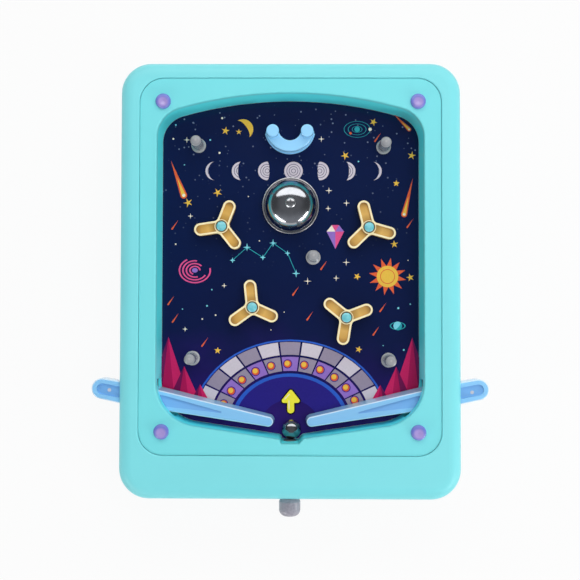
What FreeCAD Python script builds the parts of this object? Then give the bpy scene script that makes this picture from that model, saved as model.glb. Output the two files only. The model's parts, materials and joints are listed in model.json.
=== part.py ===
import FreeCAD, Part
import math
import os

# Toy pinball machine, millimetres, +Z up, player's end towards -Y.
# Every piece is drawn in the field's own frame: X to the right, Y up the field, Z out of it,
# with zero height on top of the inset frame. At the end all of it is tilted to the field's slope.

# Driving dimensions
case_width = 229.4
case_length = 293.65
case_corner = 20.5
front_height = 42.0
field_slope = 6.0
wall = 2.4
side_margin = 13.85
rear_margin = 11.65
apron_margin = 30.0
frame_corner = 16.5
well_depth = 22.0
ball_diameter = 13.0
lever_gap = 17.8
lever_swing = 22.0

# Fits and clearances
shaft_fit = 0.05
loose_fit = 0.1
seam = 0.15
running_gap = 0.3
overrun = 1.0

# Sizes that several pieces share
sheet_thickness = 0.3
board_thickness = 2.0
boss_depth = 4.0
tray_floor = 2.4
tray_rim = 10.0
foot_proud = 1.5
band_rise = 0.8
board_top = -well_depth
sheet_top = board_top + sheet_thickness
spigot_end = board_top - board_thickness - boss_depth
ball_height = sheet_top + running_gap + ball_diameter / 2
case_half_width = case_width / 2
case_half_length = case_length / 2
frame_half_width = case_half_width - side_margin
frame_rear = case_half_length - rear_margin
frame_front = apron_margin - case_half_length
field_middle = (frame_rear + frame_front) / 2
field_half_length = (frame_rear - frame_front) / 2
slope = math.radians(field_slope)
deep = -(front_height + case_length)
vector = FreeCAD.Vector
up = vector(0, 0, 1)


# Frames and simple forms
def to_table(shape):
    """Tilt a shape from the field's frame to the slope at which it stands on the table."""
    tilted = shape.copy()
    tilted.rotate(vector(0, 0, 0), vector(1, 0, 0), field_slope)
    tilted.translate(vector(0, 0, front_height + case_half_length * math.sin(slope)))
    return tilted


def level_at(y, table_height):
    """Height in the field's frame of a point at y that lies at a given height over the table."""
    lift = front_height + case_half_length * math.sin(slope)
    return (table_height - lift - y * math.sin(slope)) / math.cos(slope)


def between(shape, low, high):
    """What lies between two heights over the table, of a shape that is already tilted."""
    size = 2 * case_length
    return shape.common(Part.makeBox(size, size, high - low, vector(-case_length, -case_length, low)))


def fused(shapes):
    """One solid from several that overlap."""
    return shapes[0].multiFuse(shapes[1:]).removeSplitter()


def cylinder(x, y, low, high, radius):
    return Part.makeCylinder(radius, high - low, vector(x, y, low))


def prism(face, height):
    return face.extrude(vector(0, 0, height))


def inset_corners(corners, inset):
    """Corners (x, y, radius), anticlockwise, of the outline that lies an inset inside another."""
    moved = []
    for number, (x, y, radius) in enumerate(corners):
        here = vector(x, y, 0)
        before = vector(*corners[number - 1][:2], 0)
        after = vector(*corners[(number + 1) % len(corners)][:2], 0)
        come = (here - before).normalize()
        leave = (after - here).normalize()
        turn = come.cross(leave).z
        inward = up.cross(come) + up.cross(leave)
        corner = here + inward * (inset / (1 + come.dot(leave)))
        moved.append((corner.x, corner.y, max(radius - math.copysign(inset, turn), 0)))
    return moved


def rounded_outline(corners, level):
    """Closed outline of straight runs, each corner (x, y, radius) rounded by a tangent arc."""
    stations = []
    for number, (x, y, radius) in enumerate(corners):
        here = vector(x, y, level)
        back = (vector(*corners[number - 1][:2], level) - here).normalize()
        ahead = (vector(*corners[(number + 1) % len(corners)][:2], level) - here).normalize()
        half = back.getAngle(ahead) / 2
        reach = radius / math.tan(half)
        bulge = (back + ahead).normalize() * (radius / math.sin(half) - radius)
        stations.append((here + back * reach, here + bulge, here + ahead * reach, radius))
    edges = []
    for number, (start, middle, stop, radius) in enumerate(stations):
        if radius > 0:
            edges.append(Part.Arc(start, middle, stop).toShape())
        following = stations[(number + 1) % len(stations)][0]
        edges.append(Part.LineSegment(stop, following).toShape())
    return Part.Wire(edges)


def slab(corners, low, high):
    """Prism over a rounded outline."""
    return prism(Part.Face(rounded_outline(corners, low)), high - low)


def tapered_slab(corners, low, low_inset, high, high_inset):
    """Prism over a rounded outline whose walls lean from one inset to another."""
    bottom = rounded_outline(inset_corners(corners, low_inset), low)
    top = rounded_outline(inset_corners(corners, high_inset), high)
    return Part.makeLoft([bottom, top], True, True)


def rectangle(width, length, radius, middle_y):
    """Corners of a rectangle with rounded corners."""
    x, y = width / 2, length / 2
    signs = [(-1, -1), (1, -1), (1, 1), (-1, 1)]
    return [(side * x, middle_y + end * y, radius) for side, end in signs]


def strap(start, start_radius, stop, stop_radius, level):
    """Outline round two circles and their outer tangents, as (x, y) centres."""
    first, last = vector(*start, level), vector(*stop, level)
    run = last - first
    heading = math.atan2(run.y, run.x)
    spread = math.acos((start_radius - stop_radius) / run.Length)

    def around(centre, radius, angle):
        return centre + vector(math.cos(angle), math.sin(angle), 0) * radius

    left, right = heading + spread, heading - spread
    a, b = around(first, start_radius, left), around(last, stop_radius, left)
    c, d = around(last, stop_radius, right), around(first, start_radius, right)
    return Part.Wire([
        Part.LineSegment(a, b).toShape(),
        Part.Arc(b, around(last, stop_radius, heading), c).toShape(),
        Part.LineSegment(c, d).toShape(),
        Part.Arc(d, around(first, start_radius, heading + math.pi), a).toShape()])


def strap_block(start, start_radius, stop, stop_radius, low, high):
    return prism(Part.Face(strap(start, start_radius, stop, stop_radius, low)), high - low)


def revolved(profile, x, y):
    """Solid of revolution about an upright axis, from (radius, height) points and (middle, end) arcs."""
    edges = []
    here = vector(profile[0][-2], 0, profile[0][-1])
    for step in profile[1:] + profile[:1]:
        there = vector(step[-2], 0, step[-1])
        if len(step) == 4:
            edges.append(Part.Arc(here, vector(step[0], 0, step[1]), there).toShape())
        else:
            edges.append(Part.LineSegment(here, there).toShape())
        here = there
    solid = Part.Face(Part.Wire(edges)).revolve(vector(0, 0, 0), up, 360)
    solid.translate(vector(x, y, 0))
    return solid


def crown(radius, low, high):
    """Arc, for a profile, of a round top that rises from a radius to a pole on the axis."""
    rise = high - low
    ball = (radius * radius + rise * rise) / (2 * rise)
    angle = math.asin(min(radius / ball, 1)) / 2
    return ball * math.sin(angle), high - ball * (1 - math.cos(angle)), 0, high


def bulge(first, last, share):
    """Middle and end of an arc, for a profile, that bulges by a share of its chord."""
    run, rise = last[0] - first[0], last[1] - first[1]
    return (first[0] + last[0]) / 2 + rise * share, (first[1] + last[1]) / 2 - run * share, *last


# Outer case, the ring-shaped shell that the levers pass through
shoulder = 9.5
case_roof = 2.4
ledge_width = 3.5
ledge_thickness = 2.0
ledge_land = 2.4
frame_thickness = 2.4
case_boss = 3.1
side_boss_inset = 7.6
side_boss_shares = 0.685, -0.1233
front_boss_inset = 12.0
front_boss_share = 0.614
pilot_radius = 1.3
pilot_depth = 12.0
seam_bevel = 0.4
pivot_boss = 4.5
pin_radius = 2.0
pin_cap = 1.0
plunger_axis = ball_height
guide_radius = 4.5

case_outline = rectangle(case_width, case_length, case_corner, 0)
frame_outline = rectangle(2 * frame_half_width, 2 * field_half_length, frame_corner, field_middle)
side_boss_x = case_half_width - side_boss_inset
case_screws_at = [(side_boss_x, share * case_half_length) for share in side_boss_shares]
case_screws_at.append((front_boss_share * case_half_width, front_boss_inset - case_half_length))
ledge_top = -frame_thickness
ledge_low = ledge_top - ledge_thickness

# Levers, placed here because the walls are cut for them
lever_thickness = 12.0
lever_clear = 1.7
lever_low = sheet_top + lever_clear
lever_top = lever_low + lever_thickness
lever_hub = 8.6
lever_tip = 4.1
lever_draft = 1.6
handle_reach = 32.3
handle_end = 7.0
pivot_inset = 12.7
pivot_rise = 38.5
pivot_x = case_half_width - pivot_inset
pivot_y = frame_front + pivot_rise
lever_reach = pivot_x - lever_gap / 2
rest_angle = -lever_swing / 2
slot_clearance = 0.4
slot_spare = 2.0


def both_sides(x, y):
    return [(x, y), (-x, y)]


def slot_block(inner, outer, spare):
    """Boxes through both walls, between two distances from the middle, where the levers sweep."""
    sway = pivot_inset * math.tan(math.radians(lever_swing / 2))
    half = lever_hub / math.cos(math.radians(lever_swing / 2)) + sway + slot_clearance
    height = lever_thickness + 2 * slot_clearance
    low = vector(inner, pivot_y - half - spare, lever_low - slot_clearance)
    block = Part.makeBox(outer - inner, 2 * half + spare, height, low)
    return fused([block, block.mirror(vector(0, 0, 0), vector(1, 0, 0))])


def round_shouldered(inset, low, high, radius):
    """Block as wide as the case less an inset, with its top edges rounded."""
    block = slab(inset_corners(case_outline, inset), low, high)
    return block.makeFillet(radius, [edge for edge in block.Edges if edge.BoundBox.ZMin > high - radius])


def outer_case():
    body = round_shouldered(0, deep, band_rise, shoulder)
    cavity = round_shouldered(wall, deep - overrun, band_rise - case_roof, shoulder - wall)
    land = slab(inset_corners(frame_outline, -ledge_land), ledge_low, band_rise)
    body = body.cut(cavity.cut(land))
    body = body.cut(slab(inset_corners(frame_outline, -seam), ledge_top, band_rise + overrun))
    bevel = band_rise - seam_bevel, -seam, band_rise + seam_bevel, -seam - 2 * seam_bevel
    body = body.cut(tapered_slab(frame_outline, *bevel))
    body = body.cut(slab(inset_corners(frame_outline, ledge_width), ledge_low - overrun, band_rise))
    for x, y in case_screws_at:
        for place in both_sides(x, y):
            body = body.fuse(cylinder(*place, deep, band_rise - case_roof, case_boss))
    for place in both_sides(pivot_x, pivot_y):
        body = body.fuse(cylinder(*place, lever_top + running_gap, ledge_top, pivot_boss))
        body = body.cut(cylinder(*place, lever_top, ledge_low + pin_cap, pin_radius + shaft_fit))
    body = body.cut(slot_block(case_half_width - wall - overrun, case_half_width + overrun, 0))
    hole = Part.makeCylinder(guide_radius + shaft_fit, wall + 2 * overrun,
                             vector(0, -case_half_length - overrun, plunger_axis), vector(0, 1, 0))
    body = between(to_table(body.cut(hole)), tray_rim, case_length)
    pilots = []
    for x, y in case_screws_at:
        for place in both_sides(x, y):
            low = level_at(y, tray_rim)
            pilots.append(to_table(cylinder(*place, low - overrun, low + pilot_depth, pilot_radius)))
    return body.cut(fused(pilots)).removeSplitter()


# Inset top frame with the arched window and its inner walls
window_side = 11.25
shoulder_drop = 24.1
arch_rise = 25.3
arch_share = 0.992
window_corner = 20.0
apron_corner = 30.0
apron_rise = 23.05
mouth_left, mouth_left_rise = -6.5, 10.5
mouth_right, mouth_right_rise = 9.0, 10.9
notch_right = 6.3
notch_rise = 7.7
mouth_radius = 1.6
window_draft = 1.0
skirt_wall = 2.0
rim_round = 0.7
cap_side_inset = 15.55
cap_end_inset = 15.7
cap_shank = 2.5
head_radius = 4.4
head_clearance = 0.4

window_half_width = frame_half_width - window_side
window_shoulder = frame_rear - shoulder_drop
notch_y = frame_front + notch_rise
arch_angle = math.atan2(arch_rise, window_half_width)
arch_side = math.hypot(arch_rise, window_half_width)
arch_side -= window_corner * math.tan((math.pi / 2 - arch_angle) / 2)
arch_radius = arch_share * arch_side / math.tan(arch_angle)
window = [
    (mouth_left, notch_y, mouth_radius), (notch_right, notch_y, mouth_radius),
    (mouth_right, frame_front + mouth_right_rise, mouth_radius),
    (window_half_width, frame_front + apron_rise, apron_corner),
    (window_half_width, window_shoulder, window_corner), (0, window_shoulder + arch_rise, arch_radius),
    (-window_half_width, window_shoulder, window_corner),
    (-window_half_width, frame_front + apron_rise, apron_corner),
    (mouth_left, frame_front + mouth_left_rise, mouth_radius)]
cap_places = both_sides(frame_half_width - cap_side_inset, frame_rear - cap_end_inset)
cap_places += both_sides(frame_half_width - cap_side_inset, frame_front + cap_end_inset)


def top_frame():
    plate = slab(inset_corners(frame_outline, 0), ledge_top, 0)
    plate = plate.makeFillet(seam_bevel, [edge for edge in plate.Edges if edge.BoundBox.ZMin > -seam])
    skirt = tapered_slab(window, board_top, window_draft - skirt_wall, ledge_top / 2, -skirt_wall)
    well = tapered_slab(window, board_top - overrun, window_draft, overrun, 0)
    body = plate.fuse(skirt).cut(well).removeSplitter()
    steps = [math.radians(angle) for angle in (0, 45, 90)]
    for low, high in zip(steps, steps[1:]):
        body = body.cut(tapered_slab(
            window, rim_round * (math.sin(low) - 1), -rim_round * (1 - math.cos(low)),
            rim_round * (math.sin(high) - 1), -rim_round * (1 - math.cos(high))))
    body = body.cut(slot_block(window_half_width - pivot_inset, pivot_x, slot_spare))
    depth = skirt_wall + window_draft + 2 * overrun
    hole = Part.makeCylinder(head_radius + head_clearance, depth,
                             vector(0, notch_y + overrun - depth, plunger_axis), vector(0, 1, 0))
    body = body.cut(hole)
    for place in cap_places:
        body = body.cut(cylinder(*place, ledge_top - overrun, overrun, cap_shank + shaft_fit))
    return to_table(body)


# Playfield board, with a boss under it for everything that stands on it, and its printed sheet
board_lap = 3.0
boss_radius = 4.0
spigot_radius = 2.0
bell_shares = 0.0011, 0.3385
catcher_shares = -0.0056, 0.7624
post_shares = {
    "upper_left": (-0.7109, 0.6698), "upper_right": (0.7165, 0.6627), "middle": (0.1752, 0.0556),
    "lower_left": (-0.75, -0.496), "lower_right": (0.7533, -0.504)}
spinner_shares = {
    "upper_left": (-0.5268, 0.2214), "upper_right": (0.6004, 0.2175),
    "lower_left": (-0.2891, -0.2183), "lower_right": (0.4286, -0.2722)}
spinner_angles = {"upper_left": 68.6, "upper_right": 104.4, "lower_left": 96.0, "lower_right": 141.0}
catcher_back = 3.5
catcher_peg_x = 11.7


def on_field(across_share, up_share):
    """Place on the field, from shares of its half width and of its half length."""
    return across_share * window_half_width, field_middle + up_share * field_half_length


bell_x, bell_y = on_field(*bell_shares)
catcher_x, catcher_centre_y = on_field(*catcher_shares)
catcher_y = catcher_centre_y - catcher_back
post_places = {name: on_field(*shares) for name, shares in post_shares.items()}
spinner_places = {name: on_field(*shares) for name, shares in spinner_shares.items()}
fixings = [(bell_x, bell_y)] + list(post_places.values()) + list(spinner_places.values())
fixings += [(catcher_x - catcher_peg_x, catcher_y), (catcher_x + catcher_peg_x, catcher_y)]


def holes_for_fixings(low, high):
    return fused([cylinder(x, y, low, high, spigot_radius + shaft_fit) for x, y in fixings])


def playfield_board():
    board = slab(inset_corners(window, window_draft - board_lap), board_top - board_thickness, board_top)
    bosses = [cylinder(x, y, spigot_end, board_top - board_thickness / 2, boss_radius) for x, y in fixings]
    body = fused([board] + bosses)
    return to_table(body.cut(holes_for_fixings(spigot_end - overrun, board_top + overrun)))


def print_sheet():
    sheet = slab(inset_corners(window, window_draft + seam), board_top, sheet_top)
    return to_table(sheet.cut(holes_for_fixings(board_top - overrun, sheet_top + overrun)))


# Bell: a pressed dome on a post, held by one pan-head screw
bell_radius = 19.5
bell_lip = 1.1
bell_sheet = 1.0
bell_flank = 18.2
bell_bend = 17.0
bell_bend_height = 6.4
bell_waist = 14.9
bell_waist_height = 10.4
bell_height = 16.4
bell_flat = 3.6
bend_share = 0.061
dome_share = 0.088
bell_clear = 2.5
bell_post_radius = 3.6
bell_screw_head = 3.4
bell_screw_rise = 2.0
bell_screw_core = 1.4
head_edge_share = 0.33
cross_reach_share, cross_width_share = 0.6, 0.25
bell_low = sheet_top + bell_clear


def bell_dome():
    hole = bell_screw_core + shaft_fit
    bead = bell_sheet / 2
    bend, waist = (bell_bend, bell_low + bell_bend_height), (bell_waist, bell_low + bell_waist_height)
    flat = bell_flat, bell_low + bell_height
    inner_bend = bell_bend - bell_sheet, bend[1]
    inner_waist = bell_waist - bell_sheet, waist[1] - bead
    inner_flat = bell_flat, flat[1] - bell_sheet
    profile = [
        (bell_radius - bead, bell_low),
        (bell_radius, bell_low + bead, bell_radius - bead, bell_low + 2 * bead),
        (bell_radius - bell_lip, bell_low + 2 * bead), (bell_flank, bell_low + 3 * bead),
        bend, bulge(bend, waist, bend_share), bulge(waist, flat, dome_share), (hole, flat[1]),
        (hole, inner_flat[1]), inner_flat, bulge(inner_flat, inner_waist, -dome_share),
        bulge(inner_waist, inner_bend, -bend_share), (bell_flank - bell_sheet, bell_low + 2 * bead),
        (bell_flank - bell_sheet / 2, bell_low)]
    return to_table(revolved(profile, bell_x, bell_y))


def bell_post():
    top = bell_low + bell_height - bell_sheet
    body = cylinder(bell_x, bell_y, sheet_top, top, bell_post_radius)
    body = body.fuse(cylinder(bell_x, bell_y, spigot_end, sheet_top, spigot_radius))
    bore = bell_screw_core + shaft_fit
    body = body.cut(cylinder(bell_x, bell_y, top - bell_waist_height, top + overrun, bore))
    return to_table(body.removeSplitter())


def pan_head(radius, rise, core, length, seat, x, y):
    """Pan-head screw that points down from its seat, with a crossed recess."""
    edge = seat + rise * head_edge_share
    profile = [
        (0, seat - length), (core, seat - length), (core, seat), (radius, seat), (radius, edge),
        crown(radius, edge, seat + rise)]
    body = revolved(profile, 0, 0)
    width, length = radius * cross_width_share, 2 * radius * cross_reach_share
    for size_x, size_y in ((length, width), (width, length)):
        corner = vector(-size_x / 2, -size_y / 2, edge)
        body = body.cut(Part.makeBox(size_x, size_y, rise, corner))
    body.translate(vector(x, y, 0))
    return body


def bell_screw():
    seat = bell_low + bell_height
    screw = pan_head(
        bell_screw_head, bell_screw_rise, bell_screw_core, bell_waist_height, seat, bell_x, bell_y)
    return to_table(screw)


# Ball catcher, a crescent cup with a peg at each end
catcher_radius = 16.8
cup_radius = 7.85
cup_shift = 1.55
catcher_height = 8.7
catcher_skirt = 0.8
catcher_skirt_rise = 1.4
peg_radius = 4.3
peg_rise = 5.0
peg_round = 0.9
catcher_round = 0.8
catcher_top = sheet_top + catcher_height


def crescent(low, high, grow):
    disc = cylinder(catcher_x, catcher_centre_y, low, high, catcher_radius + grow)
    size = 2 * (catcher_radius + grow)
    disc = disc.cut(Part.makeBox(2 * size, size, high - low + overrun, vector(-size, catcher_y, low)))
    ends = [catcher_x - catcher_peg_x, catcher_x + catcher_peg_x]
    return fused([disc] + [cylinder(x, catcher_y, low, high, peg_radius + grow) for x in ends])


def ball_catcher():
    body = crescent(sheet_top, catcher_top, 0)
    rim = [edge for edge in body.Edges if min(v.Z for v in edge.Vertexes) > catcher_top - overrun / 2]
    body = body.makeFillet(catcher_round, rim)
    body = body.fuse(crescent(sheet_top, sheet_top + catcher_skirt_rise, catcher_skirt))
    body = body.cut(cylinder(catcher_x, catcher_centre_y - cup_shift, sheet_top - overrun,
                             catcher_top + overrun, cup_radius))
    for side in (-1, 1):
        x = catcher_x + side * catcher_peg_x
        peg = cylinder(x, catcher_y, sheet_top, catcher_top + peg_rise, peg_radius)
        top = [edge for edge in peg.Edges if edge.BoundBox.ZMin > catcher_top + peg_rise - peg_round]
        body = body.fuse(peg.makeFillet(peg_round, top))
        body = body.fuse(cylinder(x, catcher_y, spigot_end, sheet_top, spigot_radius))
    return to_table(body.removeSplitter())


# Clear posts that the ball bounces off
post_flange = 5.0
post_flange_rise = 2.2
post_foot = 4.0
post_top = 3.6
post_height = 20.5
post_crown = 1.4


def clear_post(x, y):
    top = sheet_top + post_height
    flange_top = sheet_top + post_flange_rise
    profile = [
        (0, spigot_end), (spigot_radius, spigot_end), (spigot_radius, sheet_top), (post_flange, sheet_top),
        (post_flange, flange_top - post_crown / 2), (post_foot, flange_top), (post_top, top - post_crown),
        crown(post_top, top - post_crown, top)]
    return to_table(revolved(profile, x, y))


# Spinners, three channelled arms round a hub that turns on a pin
arm_reach = 18.8
arm_half_width = 4.25
arm_edge = 1.3
arm_clear = 1.6
arm_low = sheet_top + arm_clear
arm_thickness = 5.2
channel_depth = 1.6
web_radius = 3.5
hub_radius = 4.7
hub_rise = 0.5
hub_dish = 1.0
pin_head = 3.3
pin_head_rise = 2.4
pin_journal = 1.9
arms = 3


def star(reach, half_width, low, high):
    blocks = []
    for number in range(arms):
        angle = 2 * math.pi * number / arms
        tip = ((reach - half_width) * math.cos(angle), (reach - half_width) * math.sin(angle))
        blocks.append(strap_block((0, 0), half_width, tip, half_width, low, high))
    return fused(blocks)


def spinner(x, y, angle):
    top = arm_low + arm_thickness
    body = star(arm_reach, arm_half_width, arm_low, top)
    corners = [edge for edge in body.Edges if edge.BoundBox.ZLength > arm_thickness / 2
               and math.hypot(edge.CenterOfMass.x, edge.CenterOfMass.y) < arm_half_width + arm_edge]
    body = body.makeFillet(web_radius, corners)
    channel = arm_half_width - arm_edge
    body = body.cut(star(arm_reach - arm_edge, channel, top - channel_depth, top + overrun))
    body = body.fuse(cylinder(0, 0, arm_low, top + hub_rise, hub_radius))
    body = body.cut(cylinder(0, 0, arm_low - overrun, top + hub_rise + overrun, pin_journal + shaft_fit))
    body = body.cut(cylinder(0, 0, top + hub_rise - hub_dish, top + overrun, pin_head + running_gap))
    body = body.removeSplitter()
    body.rotate(vector(0, 0, 0), up, angle)
    body.translate(vector(x, y, 0))
    return to_table(body)


def spinner_pin(x, y):
    seat = arm_low + arm_thickness + hub_rise - hub_dish + running_gap
    edge = seat + pin_head_rise / 2
    shoulder_top = arm_low - running_gap
    profile = [
        (0, spigot_end), (spigot_radius, spigot_end), (spigot_radius, sheet_top), (hub_radius, sheet_top),
        (hub_radius, shoulder_top), (pin_journal, shoulder_top), (pin_journal, seat), (pin_head, seat),
        (pin_head, edge), crown(pin_head, edge, seat + pin_head_rise)]
    return to_table(revolved(profile, x, y))


# Levers: one moulding each from the handle outside the case to the tip in the field
lever_round = 1.0
handle_hub = 7.6
pocket_wall = 1.8
pocket_roof = 3.0
recess_near, recess_far = 16.0, 56.5
recess_half_width = 3.6
recess_point = 0.5
recess_step = 0.25
recess_tilt = 9.0
grip_depth = 1.2
grip_near, grip_far = 14.0, 25.0
grip_half_width = 3.7
gate_radius = 0.9
gate_rise = 0.25


def lever_left():
    tip = (lever_reach - lever_tip, 0)
    grip = (-(handle_reach - handle_end), 0)
    arm = Part.makeLoft([
        strap((0, 0), lever_hub, tip, lever_tip, lever_low),
        strap((0, 0), lever_hub - lever_draft, tip, lever_tip - lever_draft / 2, lever_top)], True, True)
    handle = strap_block((0, 0), handle_hub, grip, handle_end, lever_low, lever_top)
    body = arm.fuse(handle).removeSplitter()
    top_edges = [edge for edge in body.Edges if edge.BoundBox.ZMin > lever_top - lever_round / 2]
    body = body.makeFillet(lever_round, top_edges)
    recess = strap_block((recess_near, 0), recess_half_width, (recess_far, 0), recess_point,
                         lever_top - recess_step, lever_top + lever_thickness)
    recess.rotate(vector(0, -recess_half_width, lever_top), vector(1, 0, 0), -recess_tilt)
    floor = lever_top - grip_depth
    groove = strap_block((-grip_near, 0), grip_half_width, (-grip_far, 0), grip_half_width,
                         floor, lever_top + overrun)
    body = body.cut(recess).cut(groove)
    gate_x = grip_half_width - grip_far
    body = body.fuse(cylinder(gate_x, 0, floor - overrun, floor + gate_rise, gate_radius))
    pocket_top = lever_top - pocket_roof
    inner_hub = lever_hub - lever_draft - pocket_wall
    inner_handle = handle_end - pocket_wall - grip_depth
    body = body.cut(strap_block((lever_hub + inner_hub, 0), inner_hub, tip, lever_tip - pocket_wall,
                                lever_low - overrun, pocket_top))
    body = body.cut(strap_block((-lever_hub - inner_hub, 0), inner_hub, grip, inner_handle,
                                lever_low - overrun, pocket_top))
    body = body.cut(cylinder(0, 0, lever_low - overrun, lever_top + overrun, pin_radius + shaft_fit))
    body = body.removeSplitter()
    body.rotate(vector(0, 0, 0), up, rest_angle)
    body.translate(vector(-pivot_x, pivot_y, 0))
    return body


def mirrored(shape):
    return shape.mirror(vector(0, 0, 0), vector(1, 0, 0))


# Pivot pins and the torsion springs that bring the levers back
pivot_post = 4.6
pin_root = 10.0
coil_radius = 5.6
coil_wire = 0.45
coil_gap = 0.6
coil_turns = 3
arcs_per_turn = 2
wire_flats = 6
lever_leg = 9.0
anchor_leg = 3.0


def pivot_pin():
    low = lever_low - running_gap - pin_root
    return cylinder(-pivot_x, pivot_y, low, ledge_low + pin_cap - seam, pin_radius)


def biarc(start, start_way, stop, stop_way):
    """Two arcs that leave the start and reach the stop along given directions."""
    gap = stop - start
    ways = start_way + stop_way
    bend = 2 * (1 - start_way.dot(stop_way))
    along = gap.dot(ways)
    reach = (math.sqrt(along * along + bend * gap.dot(gap)) - along) / bend
    first, second = start + start_way * reach, stop - stop_way * reach
    joint = (first + second) * 0.5
    edges = []
    for a, corner, b in ((start, first, joint), (joint, second, stop)):
        middle, half = (a + b) * 0.5, (b - a).Length / 2
        rise = corner - middle
        sagitta = half * math.tan(math.atan2(rise.Length, half) / 2)
        edges.append(Part.Arc(a, middle + rise.normalize() * sagitta, b).toShape())
    return edges


def helix_point(radius, pitch, turn):
    """Point and direction of an upright helix after a number of turns."""
    angle = 2 * math.pi * turn
    point = vector(radius * math.cos(angle), radius * math.sin(angle), pitch * turn)
    way = vector(-radius * math.sin(angle), radius * math.cos(angle), pitch / (2 * math.pi))
    return point, way.normalize()


def wound_wire(radius, pitch, turns, wire_radius, first_leg, last_leg):
    """Unbroken wire of six flats wound on an upright axis, with a straight leg at each end if wanted."""
    count = arcs_per_turn * turns
    stations = [helix_point(radius, pitch, number / arcs_per_turn) for number in range(count + 1)]
    edges = []
    first, first_way = stations[0]
    last, last_way = stations[-1]
    if first_leg > 0:
        edges.append(Part.LineSegment(first - first_way * first_leg, first).toShape())
    for (a, a_way), (b, b_way) in zip(stations, stations[1:]):
        edges += biarc(a, a_way, b, b_way)
    if last_leg > 0:
        edges.append(Part.LineSegment(last, last + last_way * last_leg).toShape())
    root = first - first_way * first_leg
    side = first_way.cross(up).normalize()
    rise = side.cross(first_way)
    section = []
    for number in range(wire_flats):
        angle = 2 * math.pi * number / wire_flats
        section.append(root + (side * math.cos(angle) + rise * math.sin(angle)) * wire_radius)
    pipe = Part.BRepOffsetAPI.MakePipeShell(Part.Wire(edges))
    pipe.add(Part.makePolygon(section + section[:1]))
    pipe.build()
    pipe.makeSolid()
    print(f"wound wire of radius {wire_radius}: gap between turns {pitch - 2 * wire_radius:.2f}")
    return pipe.shape()


def return_spring():
    turn_rise = 2 * coil_wire + coil_gap
    spring = wound_wire(coil_radius, turn_rise, coil_turns, coil_wire, anchor_leg, lever_leg)
    spring.rotate(vector(0, 0, 0), up, rest_angle - 90)
    leg_rise = lever_leg * turn_rise / (2 * math.pi * coil_radius)
    top = lever_low - running_gap - coil_wire - leg_rise
    spring.translate(vector(-pivot_x, pivot_y, top - coil_turns * turn_rise))
    return spring


# Plunger: knob, rod, head and collar that slide together through a bush in the front wall
knob_radius = 7.25
knob_length = 12.2
knob_gap = 0.5
knob_round = 4.5
knob_seat = case_half_length + knob_gap
rod_radius = 2.25
head_proud = 1.4
head_face_y = notch_y + head_proud
head_round = 1.2
collar_radius = 5.6
collar_thickness = 1.6
guide_flange = 6.0
guide_length = 6.0
guide_flange_thickness = 1.2
spring_radius = 3.4
spring_wire = 0.35
spring_turns = 9
rod_grip = 6.0


def along_plunger(profile):
    """Solid of revolution about the plunger's axis, from (radius, place up the field) points."""
    solid = revolved(profile, 0, 0)
    solid.rotate(vector(0, 0, 0), vector(1, 0, 0), -90)
    solid.translate(vector(0, 0, plunger_axis))
    return solid


def bush_inner_y():
    return -case_half_length + wall + guide_flange_thickness + guide_length


def head_back_y():
    return notch_y - skirt_wall - running_gap


def collar_back_y():
    return head_back_y() - collar_thickness


def rod_end_y():
    return (head_face_y + head_back_y()) / 2


def plunger_knob():
    root, end = -knob_seat, -(knob_seat + knob_length)
    inner = knob_radius - knob_round
    bulge = knob_round * math.sqrt(0.5)
    solid = along_plunger([
        (0, root - rod_grip), (rod_radius + shaft_fit, root - rod_grip), (rod_radius + shaft_fit, root),
        (knob_radius - rod_radius / 2, root), (knob_radius, root - rod_radius),
        (knob_radius, end + knob_round),
        (inner + bulge, end + knob_round - bulge, inner, end), (0, end)])
    return to_table(solid)


def plunger_rod():
    return to_table(along_plunger([
        (0, -knob_seat - rod_grip + shaft_fit), (rod_radius, -knob_seat - rod_grip + shaft_fit),
        (rod_radius, rod_end_y()), (0, rod_end_y())]))


def plunger_head():
    back = head_back_y()
    bore = rod_radius + shaft_fit
    bulge = head_round * math.sqrt(0.5)
    inner = head_radius - head_round
    return to_table(along_plunger([
        (bore, back), (head_radius, back), (head_radius, head_face_y - head_round),
        (inner + bulge, head_face_y - head_round + bulge, inner, head_face_y), (0, head_face_y),
        (0, rod_end_y() + shaft_fit), (bore, rod_end_y() + shaft_fit)]))


def plunger_collar():
    back = collar_back_y()
    front = back + collar_thickness
    bore = rod_radius + shaft_fit
    ring = [(bore, back), (collar_radius, back), (collar_radius, front), (bore, front)]
    return to_table(along_plunger(ring))


def plunger_bush():
    bore = rod_radius + loose_fit
    outer, inner = -case_half_length, -case_half_length + wall
    return to_table(along_plunger([
        (bore, outer), (guide_radius, outer), (guide_radius, inner), (guide_flange, inner),
        (guide_flange, inner + guide_flange_thickness), (guide_radius, inner + guide_flange_thickness),
        (guide_radius, bush_inner_y()), (bore, bush_inner_y())]))


def plunger_spring():
    free = collar_back_y() - bush_inner_y() - 2 * (spring_wire + seam)
    spring = wound_wire(spring_radius, free / spring_turns, spring_turns, spring_wire, 0, 0)
    spring.rotate(vector(0, 0, 0), vector(1, 0, 0), -90)
    spring.translate(vector(0, bush_inner_y() + spring_wire + seam, plunger_axis))
    return to_table(spring)


# Steel ball, resting in front of the plunger's head
ball_x = 1.0
ball_y = head_face_y + running_gap + ball_diameter / 2


def steel_ball():
    return to_table(Part.makeSphere(ball_diameter / 2, vector(ball_x, ball_y, ball_height)))


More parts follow.
